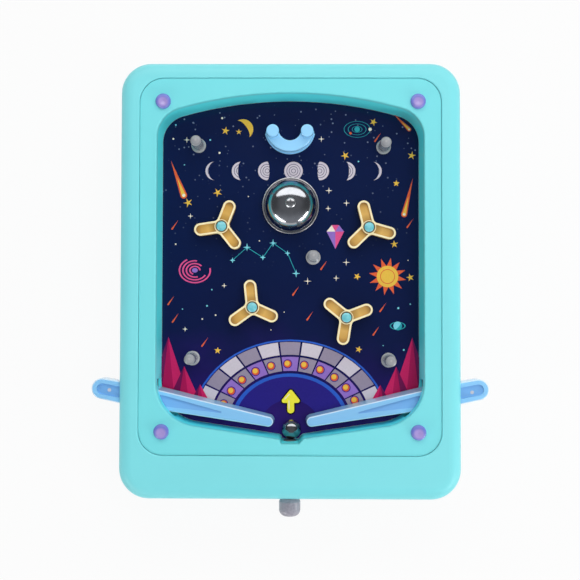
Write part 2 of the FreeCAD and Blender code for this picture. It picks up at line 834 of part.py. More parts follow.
# Base tray with its posts, the screws that close the case, and its feet
tray_round = 2.0
tongue = 1.2
tongue_rise = 3.0
screw_post = 4.2
screw_head = 2.9
screw_rise = 1.9
screw_core = 1.25
screw_length = 11.0
screw_seat = 6.0
corner_post = 4.0
support_post = 3.5
support_shares = [(0.4464, 0.5873), (0.5804, -0.6508), (0.8705, -0.0794)]
middle_support_shares = 0, 0.0159
foot_radius = 7.0
foot_sink = 1.2
foot_inset = 24.0
rib_thickness = 1.6
rib_rise = 6.0
rib_shares = -0.65, -0.274, 0.205, 0.65

supports = [place for shares in support_shares for place in both_sides(*on_field(*shares))]
supports.append(on_field(*middle_support_shares))
feet_at = both_sides(case_half_width - foot_inset, case_half_length - foot_inset)
feet_at += both_sides(case_half_width - foot_inset, foot_inset - case_half_length)


def base_tray():
    outer = between(to_table(slab(case_outline, deep, 0)), foot_proud, tray_rim)
    low_edges = [edge for edge in outer.Edges if edge.BoundBox.ZMax < foot_proud + seam]
    outer = outer.makeFillet(tray_round, low_edges)
    floor_top = foot_proud + tray_floor
    inner = between(to_table(slab(inset_corners(case_outline, wall), deep, 0)), floor_top, case_length)
    body = outer.cut(inner)
    lip = slab(inset_corners(case_outline, wall + seam), deep, 0)
    lip = lip.cut(slab(inset_corners(case_outline, wall + seam + tongue), deep - overrun, overrun))
    pieces = [body, between(to_table(lip), foot_proud + tray_floor / 2, tray_rim + tongue_rise)]
    posts = [cylinder(*place, deep, ledge_top, corner_post) for place in cap_places]
    posts += [cylinder(*place, deep, board_top - board_thickness, support_post) for place in supports]
    post_top = lever_low - running_gap
    posts += [cylinder(*place, deep, post_top, pivot_post) for place in both_sides(pivot_x, pivot_y)]
    base = foot_proud + tray_floor / 2
    pieces += [between(to_table(post), base, case_length) for post in posts]
    for x, y in case_screws_at:
        for place in both_sides(x, y):
            pieces.append(between(to_table(cylinder(*place, deep, 0, screw_post)), base, tray_rim))
    half = case_half_width - wall - seam
    for share in rib_shares:
        corner = vector(-half, share * case_half_length, base)
        pieces.append(Part.makeBox(2 * half, rib_thickness, floor_top + rib_rise - base, corner))
    body = fused(pieces)
    cuts = []
    for x, y in case_screws_at:
        for place in both_sides(x, y):
            seat = level_at(y, screw_seat)
            rim = level_at(y, tray_rim) + overrun
            cuts.append(to_table(cylinder(*place, deep, seat, screw_head + loose_fit)))
            cuts.append(to_table(cylinder(*place, deep, rim, screw_core + loose_fit)))
    for place in cap_places:
        cuts.append(to_table(cylinder(*place, ledge_top - shank_length, overrun, cap_shank + shaft_fit)))
    for place in both_sides(pivot_x, pivot_y):
        cuts.append(to_table(cylinder(*place, post_top - pin_root, overrun, pin_radius + shaft_fit)))
    for place in feet_at:
        seat = vector(*place, foot_proud - overrun)
        cuts.append(Part.makeCylinder(foot_radius + loose_fit, foot_sink + overrun, seat))
    return body.cut(fused(cuts)).removeSplitter()


def case_screws():
    screws = []
    for x, y in case_screws_at:
        for place in both_sides(x, y):
            screw = pan_head(screw_head, screw_rise, screw_core, screw_length, 0, 0, 0)
            screw.rotate(vector(0, 0, 0), vector(1, 0, 0), 180)
            screw.translate(vector(*place, level_at(y, screw_seat)))
            screws.append(to_table(screw))
    return Part.makeCompound(screws)


def rubber_feet():
    return Part.makeCompound([
        Part.makeCylinder(foot_radius, foot_proud + foot_sink, vector(x, y, 0)) for x, y in feet_at])


# Corner caps, domed pegs with a dimple that hold the top frame down
cap_radius = 5.1
cap_rise = 2.4
cap_dimple = 0.7
cap_dimple_radius = 2.6
shank_length = 14.0
cap_edge_share = 0.4
cap_bulge_shares = 0.84, 0.86


def corner_cap(x, y):
    out_share, up_share = cap_bulge_shares
    profile = [
        (0, ledge_top - shank_length + seam), (cap_shank, ledge_top - shank_length + seam), (cap_shank, 0),
        (cap_radius, 0), (cap_radius, cap_rise * cap_edge_share),
        (cap_radius * out_share, cap_rise * up_share, cap_dimple_radius, cap_rise),
        (0, cap_rise - cap_dimple)]
    return to_table(revolved(profile, x, y))


# The whole machine, shifted so that its box is centred over the origin
pieces = {
    "base_tray": base_tray(), "outer_case": outer_case(), "top_frame": top_frame(),
    "playfield_board": playfield_board(), "print_sheet": print_sheet(),
    "bell_dome": bell_dome(), "bell_post": bell_post(), "bell_screw": bell_screw(),
    "ball_catcher": ball_catcher(), "case_screws": case_screws(), "rubber_feet": rubber_feet(),
    "left_flipper": to_table(lever_left()), "right_flipper": to_table(mirrored(lever_left())),
    "left_pivot_pin": to_table(pivot_pin()), "right_pivot_pin": to_table(mirrored(pivot_pin())),
    "left_return_spring": to_table(return_spring()),
    "right_return_spring": to_table(mirrored(return_spring())),
    "plunger_knob": plunger_knob(), "plunger_rod": plunger_rod(), "plunger_head": plunger_head(),
    "plunger_collar": plunger_collar(), "plunger_bush": plunger_bush(), "plunger_spring": plunger_spring(),
    "steel_ball": steel_ball()}
for name, place in post_places.items():
    pieces["clear_post_" + name] = clear_post(*place)
for name, place in spinner_places.items():
    pieces["spinner_" + name] = spinner(*place, spinner_angles[name])
    pieces["spinner_pin_" + name] = spinner_pin(*place)
for place, name in zip(cap_places, ("rear_right", "rear_left", "front_right", "front_left")):
    pieces["corner_cap_" + name] = corner_cap(*place)

box = Part.makeCompound(list(pieces.values())).optimalBoundingBox(False, False)
shift = vector(-(box.XMin + box.XMax) / 2, -(box.YMin + box.YMax) / 2, 0)
print(f"size {box.XLength:.2f} {box.YLength:.2f} {box.ZLength:.2f}, lowest {box.ZMin:.3f}")
os.makedirs("parts", exist_ok=True)
for name, shape in pieces.items():
    shape.translate(shift)
    shape.exportStep("parts/" + name + ".step")
    print(f"{name}: {len(shape.Solids)} solids, {shape.Volume:.1f} mm3, valid {shape.isValid()}")


# Joint places in the finished frame, for the record
def report(name, x, y, z):
    marker = to_table(Part.Vertex(x, y, z))
    print(f"place {name} {marker.X + shift.x:.4f} {marker.Y + shift.y:.4f} {marker.Z:.4f}")


report("left_pivot", -pivot_x, pivot_y, lever_top)
report("right_pivot", pivot_x, pivot_y, lever_top)
report("plunger", 0, -(knob_seat + knob_length), plunger_axis)
report("plunger_spring_fixed_end", 0, bush_inner_y(), plunger_axis)
report("left_spring_fixed_end", -pivot_x, pivot_y, lever_low - coil_turns * (2 * coil_wire + coil_gap))
report("ball", ball_x, ball_y, ball_height)
for name, place in spinner_places.items():
    report("spinner_" + name, *place, arm_low)
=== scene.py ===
import bpy
import bmesh
import json
import math
import random
from mathutils import Matrix, Vector


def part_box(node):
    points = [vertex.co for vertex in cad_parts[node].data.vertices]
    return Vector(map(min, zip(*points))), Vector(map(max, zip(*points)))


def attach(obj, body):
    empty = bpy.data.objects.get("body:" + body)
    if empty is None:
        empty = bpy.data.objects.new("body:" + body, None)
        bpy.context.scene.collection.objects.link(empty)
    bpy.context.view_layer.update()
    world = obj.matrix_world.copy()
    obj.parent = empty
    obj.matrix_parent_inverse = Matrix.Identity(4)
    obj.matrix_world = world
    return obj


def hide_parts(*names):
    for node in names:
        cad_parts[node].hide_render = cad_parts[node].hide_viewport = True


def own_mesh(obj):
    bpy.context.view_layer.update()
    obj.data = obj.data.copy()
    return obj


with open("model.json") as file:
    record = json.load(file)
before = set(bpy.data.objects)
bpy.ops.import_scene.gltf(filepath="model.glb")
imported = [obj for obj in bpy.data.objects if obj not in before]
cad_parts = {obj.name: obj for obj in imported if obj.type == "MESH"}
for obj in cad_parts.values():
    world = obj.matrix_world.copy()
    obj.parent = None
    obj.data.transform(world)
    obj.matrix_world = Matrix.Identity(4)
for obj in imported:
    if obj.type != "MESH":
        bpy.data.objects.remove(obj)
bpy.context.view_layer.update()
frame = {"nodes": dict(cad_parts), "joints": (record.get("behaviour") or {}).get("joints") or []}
nodes = frame["nodes"]

# Base tray: the lower moulding of the case, pale turquoise styrene with ribs, posts and screw bosses.
# It is moulded in the same shot colour as the shell above it, with a fine skin and faint flow clouds.
case_turquoise = 129, 223, 229
cloud_size, cloud_depth = 0.035, 1.025
gloss_patch, gloss_least, gloss_most = 0.012, 0.75, 1.3
skin_size, skin_height, skin_strength = 0.0009, 0.00002, 0.6


class Map:
    """A number or colour that varies over a material. Sums, products and powers add Math nodes."""

    def __init__(self, tree, socket=None):
        self.tree, self.socket = tree, socket

    def node(self, kind, sockets=None, output=0, stops=None, **settings):
        """One shader node, with its settings set first, then its sockets' values or links."""
        made = self.tree.nodes.new("ShaderNode" + kind)
        for name, value in settings.items():
            setattr(made, name, value)
        if stops:
            ramp = made.color_ramp.elements
            while len(ramp) < len(stops):
                ramp.new(1.0)
            for element, (place, colour) in zip(ramp, stops):
                element.position, element.color = place, colour
        for name, value in (sockets or {}).items():
            if isinstance(value, Map):
                self.tree.links.new(value.socket, made.inputs[name])
            else:
                made.inputs[name].default_value = value
        return Map(self.tree, made.outputs[output])

    def math(self, operation, *values):
        return self.node("Math", dict(enumerate(values)), operation=operation)

    def __add__(self, other):
        return self.math("ADD", self, other)

    __radd__ = __add__

    def __mul__(self, other):
        return self.math("MULTIPLY", self, other)

    __rmul__ = __mul__

    def __sub__(self, other):
        return self.math("SUBTRACT", self, other)

    def __rsub__(self, other):
        return self.math("SUBTRACT", other, self)

    def __truediv__(self, other):
        return self.math("DIVIDE", self, other)

    def __pow__(self, other):
        return self.math("POWER", self, other)

    def above(self, edge, softness):
        """1 where the map is above an edge, 0 below it, with a soft step between."""
        ends = {"Value": self, "From Min": edge - softness, "From Max": edge + softness}
        return self.node("MapRange", ends, interpolation_type="SMOOTHSTEP")

    def between(self, first, second):
        """A colour that goes from the first to the second as the map goes from 0 to 1."""
        return self.node("Mix", {0: self, 6: first, 7: second}, output=2, data_type="RGBA")

    def tinted(self, tints):
        """A colour that runs through 0 to 255 tints, each at its place from 0 to 1 of the map."""
        return self.node("ValToRGB", {"Fac": self}, output="Color",
                         stops=[(place, shade(*tint)) for place, tint in tints])


def shade(red, green, blue, pale=1.0):
    """Linear colour from the 0 to 255 values that it shows on a screen, made paler or darker."""
    parts = [min(max(value, 0) / 255, 1) for value in (red, green, blue)]
    parts = [(part / 12.92 if part < 0.04 else ((part + 0.055) / 1.055) ** 2.4) for part in parts]
    return (*[min(part * pale, 1) for part in parts], 1.0)


def material_of(name, base, roughness, **sockets):
    """Material with one Principled shader; its sockets take values, or functions that make maps."""
    material = bpy.data.materials.new(name)
    material.use_nodes = True
    shader = material.node_tree.nodes["Principled BSDF"]
    sockets = {"Base Color": base, "Roughness": roughness,
               **{key.replace("_", " "): value for key, value in sockets.items()}}
    for key, value in sockets.items():
        if callable(value):
            material.node_tree.links.new(value(Map(material.node_tree)).socket, shader.inputs[key])
        else:
            shader.inputs[key].default_value = value
    return material


def patches(size, detail=3.0, stretch=(1, 1, 1)):
    """Soft noise from 0 to 1 whose patches are about a size across, in metres."""
    def make(tree):
        place = tree.node("TexCoord", output="Object")
        place = tree.node("VectorMath", {0: place, 1: stretch}, operation="MULTIPLY")
        return tree.node("TexNoise", {"Vector": place, "Scale": 1 / size, "Detail": detail}, output="Fac")
    return make


def skin(size, height, stretch=(1, 1, 1)):
    """Fine moulded, rolled or brushed surface, as a bump of a height in metres."""
    return lambda tree: tree.node("Bump", {"Height": patches(size, stretch=stretch)(tree), "Distance": height,
                                           "Strength": skin_strength}, output="Normal")


def clouded(first, second, size):
    """Colour that drifts between two colours in patches of a size."""
    return lambda tree: patches(size)(tree).between(first, second)


def uneven(low, high, size):
    """Number that drifts between two values in patches of a size."""
    return lambda tree: patches(size)(tree) * (high - low) + low


def styrene(name, tint, roughness, depth=cloud_depth, **sockets):
    """Glossy moulded styrene of a 0 to 255 tint: flow clouds, uneven gloss and an orange-peel skin."""
    return material_of(name, clouded(shade(*tint, 1 / depth), shade(*tint, depth), cloud_size),
                       uneven(roughness * gloss_least, roughness * gloss_most, gloss_patch),
                       Normal=skin(skin_size, skin_height), **sockets)


def dress(names, material, angle=35):
    """Give CAD nodes their material, smooth across edges that bend less than an angle in degrees."""
    for name in names:
        mesh = nodes[name].data
        mesh.materials.clear()
        mesh.materials.append(material)
        mesh.shade_smooth()
        mesh.set_sharp_from_angle(angle=math.radians(angle))


case_styrene = styrene("case_styrene", case_turquoise, roughness=0.36, Specular_IOR_Level=0.3)
dress(["base_tray"], case_styrene)

# Rubber feet: four dark moulded buttons, pressed into shallow seats under the tray.
# Their rubber is matt, with a mould texture and a dusty bloom.
rubber_dark, rubber_dusty = (30, 30, 32), (62, 61, 60)
feet_rubber = material_of("feet_rubber", clouded(shade(*rubber_dark), shade(*rubber_dusty), size=0.003),
                          uneven(low=0.7, high=0.9, size=0.002), Normal=skin(size=0.0005, height=0.00006))
dress(["rubber_feet"], feet_rubber)

# Pivot pins and case screws: turned or rolled steel, zinc plated, with a slight draw grain. The pins
# are pressed into the tray's posts, and the screws close the case from below.
zinc_dark, zinc_pale = (168, 170, 174), (206, 207, 208)
draw_grain = 1, 1, 0.2
plated_steel = material_of("plated_steel", clouded(shade(*zinc_dark), shade(*zinc_pale), size=0.0012),
                           uneven(low=0.20, high=0.38, size=0.0015), Metallic=1.0,
                           Normal=skin(size=0.0004, height=0.000008, stretch=draw_grain))
dress(["left_pivot_pin", "right_pivot_pin", "case_screws"], plated_steel)

# Springs: hard-drawn wire in yellow zinc, wound on a mandrel, with thicker plating in some turns. The
# plunger's spring is shown by a copy with a mesh of its own, riding with the case; on the toy its coils close
# up as the knob is pulled. The field's own frame is set out here from the ball: millimetres across, up and
# out of the sloping field from its middle.
wire_straw, wire_pale = (196, 172, 92), (226, 214, 160)
spring_wire = material_of("spring_wire", clouded(shade(*wire_straw), shade(*wire_pale), size=0.002),
                          uneven(low=0.22, high=0.42, size=0.001), Metallic=1.0,
                          Normal=skin(size=0.0003, height=0.00001))
dress(["left_return_spring", "right_return_spring", "plunger_spring"], spring_wire)

millimetre = 0.001
across_way = Vector((1, 0, 0))
up_way = Vector({joint["name"]: joint for joint in frame["joints"]}["ball_roll"]["axis"]).normalized()
out_way = across_way.cross(up_way)
ball_across, ball_up, ball_out = 1.0, -100.1, -14.9
ball_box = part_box("steel_ball")
field_middle = (ball_box[0] + ball_box[1]) / 2
field_middle -= (across_way * ball_across + up_way * ball_up + out_way * ball_out) * millimetre
field = Matrix([way * millimetre for way in (across_way, up_way, out_way)]).transposed().to_4x4()
field.translation = field_middle

coil = bpy.data.objects.new("plunger_coil", nodes["plunger_spring"].data.copy())
coil.matrix_world = nodes["plunger_spring"].matrix_world
bpy.context.scene.collection.objects.link(coil)
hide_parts("plunger_spring")
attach(coil, "case")
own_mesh(coil)

# Plunger: a bright steel rod with a pressed collar and a grey nylon head, that slides in a bush of
# natural nylon. The player pulls a smoke-grey knob, moulded in a glassy plastic with a soft pearl in it.
nylon_warm, nylon_pale = (222, 221, 206), (240, 240, 232)
head_soot, head_grey = (58, 60, 64), (84, 86, 90)
knob_smoke, knob_pearl = (124, 124, 134), (176, 172, 184)


def nylon(name, first, second):
    """Satin moulded nylon that drifts between two 0 to 255 tints."""
    return material_of(name, clouded(shade(*first), shade(*second), size=0.004),
                       uneven(low=0.4, high=0.55, size=0.003), Normal=skin(size=0.0006, height=0.00002))


knob_plastic = material_of("knob_plastic", clouded(shade(*knob_smoke), shade(*knob_pearl), size=0.0016),
                           uneven(low=0.3, high=0.42, size=0.002), Coat_Weight=0.3, Coat_Roughness=0.2,
                           Normal=skin(size=0.0012, height=0.00003))
dress(["plunger_rod", "plunger_collar"], plated_steel)
dress(["plunger_bush"], nylon("natural_nylon", nylon_warm, nylon_pale))
dress(["plunger_head"], nylon("grey_nylon", head_soot, head_grey))
dress(["plunger_knob"], knob_plastic, angle=60)

# Outer case: the ring-shaped upper moulding, with round shoulders, slots for the levers and a hole
# for the plunger. It is the same turquoise styrene as the tray, which it meets at a parting line.
dress(["outer_case"], case_styrene)

# Playfield board: a plain moulded back with a boss under everything that stands on it.
# It drops into the case on the tray's posts, and is out of sight under its sheet.
board_grey = 214, 218, 218
dress(["playfield_board"], styrene("board_styrene", board_grey, roughness=0.5))

# Printed sheet: coated paper glued to the board. The print is a night sky that turns violet towards
# the player, under a thin gloss varnish, with fine specks near the top that are painted glints.
sheet_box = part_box("print_sheet")
sky_tints = [(0.0, (46, 24, 112)), (0.16, (32, 20, 92)), (0.32, (8, 22, 66)), (0.55, (5, 24, 66)),
             (0.85, (7, 25, 67)), (1.0, (14, 27, 66))]
sky_patch, sky_detail, sky_drift = 0.05, 4.0, 0.3
glint_tint, glint_share = (160, 172, 205), 0.6
glint_cell, glint_dot, glint_blur = 0.0042, 0.13, 0.05
glint_foot, glint_rise = 0.75, 0.3
glint_patch, patch_edge, patch_blur = 0.008, 0.5, 0.06


def night_sky(tree):
    """Sky from the sheet's foot to its top, with a speck of painted glint in most cells of its upper part."""
    place = tree.node("TexCoord", output="Object")
    height = tree.node("SeparateXYZ", {"Vector": place}, output="Y")
    rise = tree.node("MapRange", {"Value": height, "From Min": sheet_box[0].y, "From Max": sheet_box[1].y})
    sky = (rise + (patches(sky_patch, sky_detail)(tree) - 0.5) * sky_drift).tinted(sky_tints)
    cell = tree.node("TexVoronoi", {"Vector": place, "Scale": 1 / glint_cell}, output="Distance")
    glints = (1 - cell.above(glint_dot, glint_blur)) * rise.above(glint_foot, glint_rise)
    glints = glints * patches(glint_patch)(tree).above(patch_edge, patch_blur)
    return (glints * glint_share).between(sky, shade(*glint_tint))


def printed(name, base, gloss_size):
    """Print on coated paper: a satin ink under a thin varnish that follows the paper's fine ripple."""
    return material_of(name, base, uneven(low=0.42, high=0.6, size=gloss_size),
                       Normal=skin(size=0.0016, height=0.000012), Specular_IOR_Level=0.03,
                       Coat_Weight=0.3, Coat_Roughness=0.08)


dress(["print_sheet"], printed("sky_print", night_sky, gloss_size=0.02))

# Motifs of the print: flat spot inks on the sheet, printed one over the other in layers of a fiftieth
# of a millimetre. Each shape is drawn in the field's millimetres, across and up from its middle.
sheet_top = -21.7
film = 0.02
bend_step = 7

inks = {}


def off(place, across, up=0.0):
    """A point that lies across and up the field from a place."""
    return place[0] + across, place[1] + up


def lay(ink, points, layer=1):
    """Add one flat shape to an ink, by the points of its outline."""
    inks.setdefault(ink, []).append([(x, y, sheet_top + film * layer) for x, y in points])


def bow(centre, reach, start=0, stop=360, squash=1.0):
    """Points along an arc, or along an ellipse that is squashed up the field."""
    count = max(3, math.ceil(abs(stop - start) / bend_step))
    angles = [math.radians(start + (stop - start) * number / count) for number in range(count + 1)]
    return [off(centre, reach * math.cos(angle), reach * squash * math.sin(angle)) for angle in angles]


def dot(ink, centre, reach, layer=1, squash=1.0):
    """Round or squashed spot."""
    lay(ink, bow(centre, reach, squash=squash)[:-1], layer)


def hoop(ink, centre, inner, outer, start=0, stop=360, layer=1, squash=1.0):
    """Part of a ring, in short four-sided pieces."""
    near, far = bow(centre, inner, start, stop, squash), bow(centre, outer, start, stop, squash)
    for (a, b), (c, d) in zip(zip(near, near[1:]), zip(far, far[1:])):
        lay(ink, [a, c, d, b], layer)


def spark(ink, centre, reach, waist, rays=4, turn=90, layer=1):
    """Star with sharp rays, the first at an angle in degrees."""
    points = []
    for number in range(2 * rays):
        angle = math.radians(turn + 180 * number / rays)
        long = waist if number % 2 else reach
        points.append(off(centre, long * math.cos(angle), long * math.sin(angle)))
    for number in range(0, 2 * rays, 2):
        lay(ink, [centre, points[number - 1], points[number], points[number + 1]], layer)


def moon(ink, centre, reach, lit, turn=0, layer=1):
    """Moon whose lit share faces a direction in degrees: 0.5 is a half moon and 1 a full one."""
    limb, spin = bow((0, 0), reach, -90, 90), math.radians(turn)
    dark = 1 - 2 * lit
    for (a, b), (c, d) in zip(limb, limb[1:]):
        lay(ink, [(centre[0] + x * math.cos(spin) - y * math.sin(spin),
                   centre[1] + x * math.sin(spin) + y * math.cos(spin))
                  for x, y in ((dark * a, b), (a, b), (c, d), (dark * c, d))], layer)


def streamer(ink, head, width, tip, layer=1):
    """Comet's tail: a long taper from a round head to a point."""
    heading = math.degrees(math.atan2(tip[1] - head[1], tip[0] - head[0]))
    lay(ink, [tip] + bow(head, width, heading + 90, heading + 270), layer)


def thread(ink, first, last, width, layer=1):
    """Straight thin line between two points."""
    run = Vector((last[0] - first[0], last[1] - first[1]))
    side = Vector((-run.y, run.x)).normalized() * width / 2
    lay(ink, [off(first, -side.x, -side.y), off(last, -side.x, -side.y), off(last, side.x, side.y),
              off(first, side.x, side.y)], layer)


# Print, upper field: a row of striped silver moons from new to full and back, a gold crescent and a
# teal orbit beside the catcher, and three comets.
moon_lits = 0.16, 0.34, 0.62, 1.0, 0.62, 0.34, 0.16
full_moon, full_place = 3, (2.0, 77.0)
moon_pitch, moon_reach = 18.2, 6.4
stripe, stripes = 0.32, 4
moon_row = [off(full_place, (number - full_moon) * moon_pitch) for number in range(len(moon_lits))]
for number, (centre, lit) in enumerate(zip(moon_row, moon_lits)):
    moon("silver", centre, moon_reach, lit, 0 if number > full_moon else 180)
    for ring in range(1, stripes):
        hoop("night", centre, moon_reach * ring / stripes - stripe, moon_reach * ring / stripes, layer=2)

crescent, crescent_reach, crescent_star = (-33.0, 106.0), 7.0, (-36.0, 104.2)
moon("gold", crescent, crescent_reach, lit=0.3, turn=35)
spark("gold", crescent_star, reach=2.2, waist=0.8, rays=5)

orbit, orbit_rings, orbit_line, orbit_squash = (46.0, 106.0), (3.6, 6.4, 9.2), 0.4, 0.62
orbit_bodies = [("teal", (0.0, 0.0), 1.9), ("cream", (9.0, 0.0), 1.2), ("coral", (-4.6, -2.7), 0.9)]
for reach in orbit_rings:
    hoop("teal", orbit, reach - orbit_line, reach, squash=orbit_squash)
for ink, place, reach in orbit_bodies:
    dot(ink, off(orbit, *place), reach, 2)

comets = [((-74.0, 60.0), (-83.0, 84.0), 2.3), ((82.0, 106.0), (71.0, 117.0), 1.4),
          ((78.5, 47.0), (84.5, 72.0), 2.0)]
flame_width, core_width = 0.62, 0.45
for head, tip, width in comets:
    streamer("coral", head, width, tip)
    streamer("gold", head, width * flame_width, ((head[0] + tip[0]) / 2, (head[1] + tip[1]) / 2), 2)
    dot("cream", head, width * core_width, 3)

# Print, middle of the field: a rayed sun, a rose spiral of arcs, a lilac crystal, a cyan
# constellation and a cyan globe in a teal hoop, in the clear places between the spinners.
sun, sun_reach, sun_waist, sun_disc, sun_ring = (67.0, 4.0), 13.0, 7.2, 7.4, (4.6, 5.1)
spark("coral", sun, sun_reach, sun_waist, rays=12, turn=80)
dot("gold", sun, sun_disc, 2)
hoop("coral", sun, *sun_ring, layer=3)

rose, rose_arcs, rose_line, rose_squash = (-66.0, 8.0), (4.0, 6.4, 8.8, 11.2), 1.1, 0.8
rose_heart, rose_turn, rose_sweep = 2.0, 40, 250
for number, reach in enumerate(rose_arcs):
    start = rose_turn * number
    hoop("rose", rose, reach - rose_line, reach, start, start + rose_sweep, squash=rose_squash)
dot("lilac", rose, rose_heart, squash=rose_squash)

crystal = (31.0, 32.0)
facets = [("lilac", ((-6, 3), (0, -9), (0, 3))), ("rose", ((0, -9), (6, 3), (0, 3))),
          ("cream", ((-6, 3), (0, 3), (-2.5, 7.5))), ("lilac", ((0, 3), (6, 3), (2.5, 7.5))),
          ("rose", ((0, 3), (2.5, 7.5), (-2.5, 7.5)))]
for ink, corners in facets:
    lay(ink, [off(crystal, *corner) for corner in corners])

chain = [(-40.0, 15.0), (-30.0, 24.0), (-19.0, 17.0), (-12.0, 27.0), (-2.0, 20.0), (4.0, 6.0)]
chain_line, small_star, large_star, star_waist = 0.45, 2.0, 2.8, 0.7
for first, last in zip(chain, chain[1:]):
    thread("teal", first, last, chain_line)
for number, place in enumerate(chain):
    spark("cyan", place, large_star if number % 2 else small_star, star_waist, layer=2)

globe, globe_reach, globe_hoop = (74.0, -30.0), 3.0, (4.6, 5.4)
hoop("teal", globe, *globe_hoop, squash=0.5)
dot("cyan", globe, globe_reach, 2)
moon("teal", globe, globe_reach, lit=0.35, turn=-40, layer=3)

# Print, player's end: a dial of silver and lilac panels with amber lamps over a blue glow, an arrow
# that points up the field, and crimson peaks in both corners.
dial, dial_reach, dial_squash, dial_end = (0.0, -98.0), 66.0, 0.86, 15
panels, panel_gap = 11, 1.2
outer_foot, inner_head, inner_foot, bulb_row = 0.845, 0.82, 0.65, 0.735
bulb_rim, bulb_amber, bulb_shine, shine_off = 3.1, 2.5, 1.7, (-0.3, 0.4)
glows = [("azure", 1.01, 1.03, 2), ("azure", 0.58, 0.62, 2), ("indigo", 0.3, 0.58, 1)]
span = (180 - 2 * dial_end) / panels
for number in range(panels):
    start = dial_end + number * span + panel_gap / 2
    stop = start + span - panel_gap
    hoop(("silver", "pewter")[number % 2], dial, dial_reach * outer_foot, dial_reach, start, stop, 2,
         dial_squash)
    hoop(("pewter", "lilac")[number % 2], dial, dial_reach * inner_foot, dial_reach * inner_head, start, stop,
         2, dial_squash)
    bulbs = bow(dial, dial_reach * bulb_row, start, stop, dial_squash)
    bulb = bulbs[len(bulbs) // 2]
    dot("indigo", bulb, bulb_rim, 3)
    dot("coral", bulb, bulb_amber, 4)
    dot("gold", off(bulb, *shine_off), bulb_shine, 5)
for ink, near, far, layer in glows:
    hoop(ink, dial, dial_reach * near, dial_reach * far, dial_end, 180 - dial_end, layer, dial_squash)

arrow, arrow_round, shaft_round, arrow_edge, shine_width = (0.5, -82.0), 1.5, 2.35, 0.9, 0.6
shaft_foot, head_side, head_foot, head_tip = -5.9, 4.65, 0.4, 6.3
arrow_shines = [((-1.2, -5.6), (-1.2, 0.6)), ((-4.2, 1.4), (-0.8, 5.1))]
for ink, edge, layer in (("soot", arrow_edge, 5), ("lemon", 0.0, 6)):
    corner, half = arrow_round + edge, shaft_round + edge
    outline = bow((0, shaft_foot), half, 180, 360) + [(half, head_foot - corner)]
    outline += bow((head_side, head_foot), corner, -90, 45) + bow((0, head_tip), corner, 45, 135)
    outline += bow((-head_side, head_foot), corner, 135, 270) + [(-half, head_foot - corner)]
    lay(ink, [off(arrow, *point) for point in outline], layer)
for first, last in arrow_shines:
    thread("cream", off(arrow, *first), off(arrow, *last), shine_width, 7)

peaks = [(84.0, -79.0, 14.0, 41.0), (73.0, -84.0, 12.0, 26.0), (62.0, -86.5, 9.0, 16.0)]
peak_faces = [("crimson", -1, 1, 0), ("cerise", -1, -0.3, 1), ("plum", 0.35, 1, 1)]
for side in (-1, 1):
    for number, (across, foot, half, rise) in enumerate(peaks):
        tip, layer = (side * across, foot + rise), 6 + 2 * number
        for ink, near, far, lift in peak_faces:
            lay(ink, [(side * (across + half * near), foot), (side * (across + half * far), foot), tip],
                layer + lift)

# Print, scattered stars: gold and cream stars, short coral streaks and small dots, in places drawn at
# random from a seed and kept off the motifs, the bell, the posts and the spinners by clear discs.
catcher_place, bell_place = (-0.5, 98.0), (0.1, 52.65)
post_places = (-63.7, 94.4), (64.2, 93.5), (15.7, 17.0), (-67.2, -52.5), (67.5, -53.5)
spinner_places = (-47.2, 37.9), (53.8, 37.4), (-25.9, -17.5), (38.4, -24.3)
clear = [(orbit, 12), (sun, 15), (rose, 14), (crystal, 13), (globe, 8), (crescent, 9), (dial, 66)]
clear += [((-77.0, 68.0), 10), ((-81.0, 80.0), 7), ((80.0, 53.0), 10), ((83.0, 67.0), 8), ((77.0, 111.0), 10)]
clear += [(((a + c) / 2, (b + d) / 2), 8) for (a, b), (c, d) in zip(chain, chain[1:])]
clear += [(centre, 10.5) for centre in moon_row]
clear += [(catcher_place, 20), (bell_place, 23)]
clear += [(place, 7) for place in post_places] + [(place, 19) for place in spinner_places]
star_count, least_gap, star_edge, star_foot, star_head = 56, 8.4, 4, -50.0, 114.0
gold_reach, gold_waist, gold_turn = (2.2, 3.4), 1.0, (60, 120)
cream_reach, cream_waist, dot_reach = (1.8, 3.0), 0.45, (0.35, 0.75)
streak, streak_width = (4.2, 6.0), 0.55
half_width = (sheet_box[1].x - sheet_box[0].x) / 2 / millimetre - star_edge
random.seed(11)
stars = []
while len(stars) < star_count:
    place = (random.uniform(-half_width, half_width), random.uniform(star_foot, star_head))
    end = off(place, *streak)
    near = any(min(math.dist(place, centre), math.dist(end, centre)) < reach for centre, reach in clear)
    if near or any(math.dist(place, other) < least_gap for other in stars):
        continue
    number = len(stars)
    kind = number % 5
    stars.append(place)
    if kind == 0:
        spark("gold", place, random.uniform(*gold_reach), gold_waist, rays=5, turn=random.uniform(*gold_turn))
    elif kind == 1:
        spark("cream", place, random.uniform(*cream_reach), cream_waist)
    elif kind == 2:
        streamer("coral", place, streak_width, end)
    else:
        dot(("cream", "cyan")[number % 2], place, random.uniform(*dot_reach))

